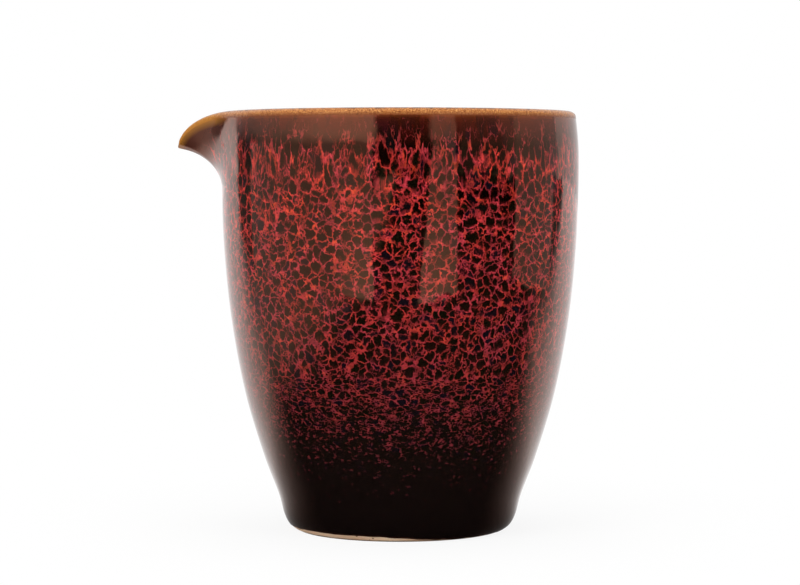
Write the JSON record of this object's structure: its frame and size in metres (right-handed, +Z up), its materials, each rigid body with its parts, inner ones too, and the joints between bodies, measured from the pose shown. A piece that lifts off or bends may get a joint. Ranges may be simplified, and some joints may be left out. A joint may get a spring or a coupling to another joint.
{
  "type": "tea pitcher",
  "caption": "Small open stoneware tea pitcher with a foot ring, no handle, and a short drooping beak drawn from its rim.",
  "frame": {"origin": "middle of the pitcher's outline, on the plane the foot ring stands on; the cup's own axis is 4.45 mm along +X from it", "axes": "+Z up along the cup's axis, -X towards the tip of the beak, the front seen in the picture faces -Y"},
  "size_m": [0.0816, 0.0726, 0.085],
  "materials": {
    "fired_clay": "bare pale tan stoneware, matt and slightly sandy",
    "kiln_glaze": "thick glossy glaze, a bright red net round small olive-black cells, fading to near black at the foot and to maroon and amber at the rim",
    "lip_amber": "thin glaze over the lip, amber with fine pale and dark grains",
    "liner_glaze": "the same glaze inside, amber and maroon under the lip and dark red lower down"
  },
  "bodies": {
    "root": {"clay_cup": "fired_clay", "clay_beak": "fired_clay", "foot_ring": "fired_clay", "outer_glaze": "kiln_glaze", "lip_glaze": "lip_amber", "inner_glaze": "liner_glaze"}
  },
  "joints": []
}
